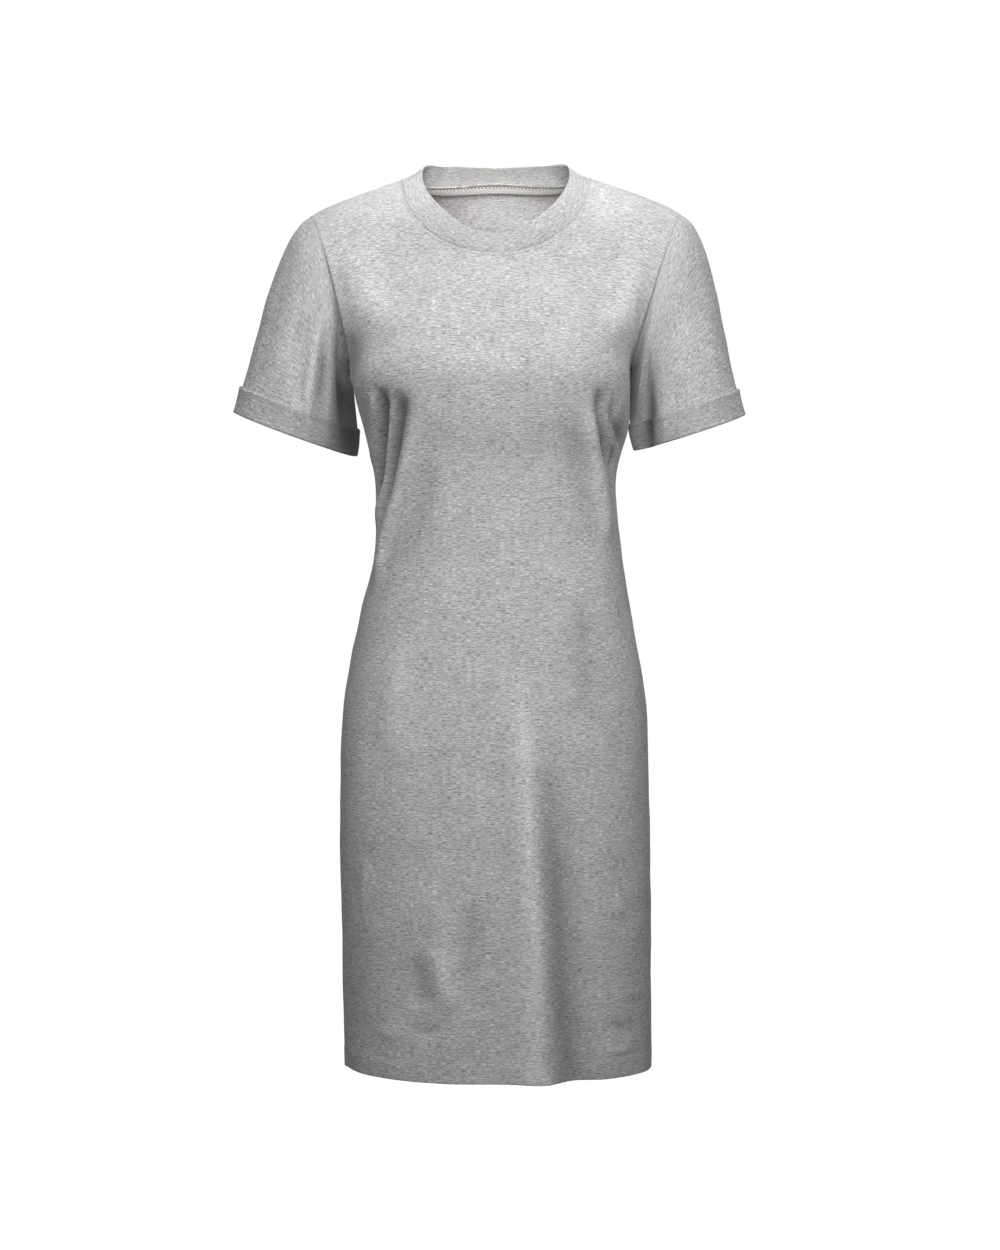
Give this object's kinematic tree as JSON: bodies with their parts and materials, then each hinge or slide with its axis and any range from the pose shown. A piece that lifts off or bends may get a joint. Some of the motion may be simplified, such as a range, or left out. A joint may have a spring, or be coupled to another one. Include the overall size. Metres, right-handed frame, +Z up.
{
  "type": "t-shirt dress",
  "caption": "Crew-neck t-shirt dress in heather grey jersey, knee length, with short sleeves, turn-up cuffs and a lightly shaped waist, filled out as worn.",
  "frame": {"origin": "midway between the two neck points, where the shoulder seams meet the neckband", "axes": "+Z up along the garment, +X to the wearer's left, the front faces -Y"},
  "size_m": [0.5324, 0.2471, 0.9443],
  "materials": {
    "jersey": "heathered cotton single jersey, matt",
    "cuff_jersey": "doubled heathered jersey, turned up and tacked",
    "band_jersey": "doubled heathered jersey neckband",
    "twill_tape": "cotton twill tape"
  },
  "bodies": {
    "root": {"front": "jersey", "back": "jersey", "sleeve_left": "jersey", "sleeve_right": "jersey", "cuff_left": "cuff_jersey", "cuff_right": "cuff_jersey", "neckband": "band_jersey", "neck_tape": "twill_tape"}
  },
  "joints": []
}
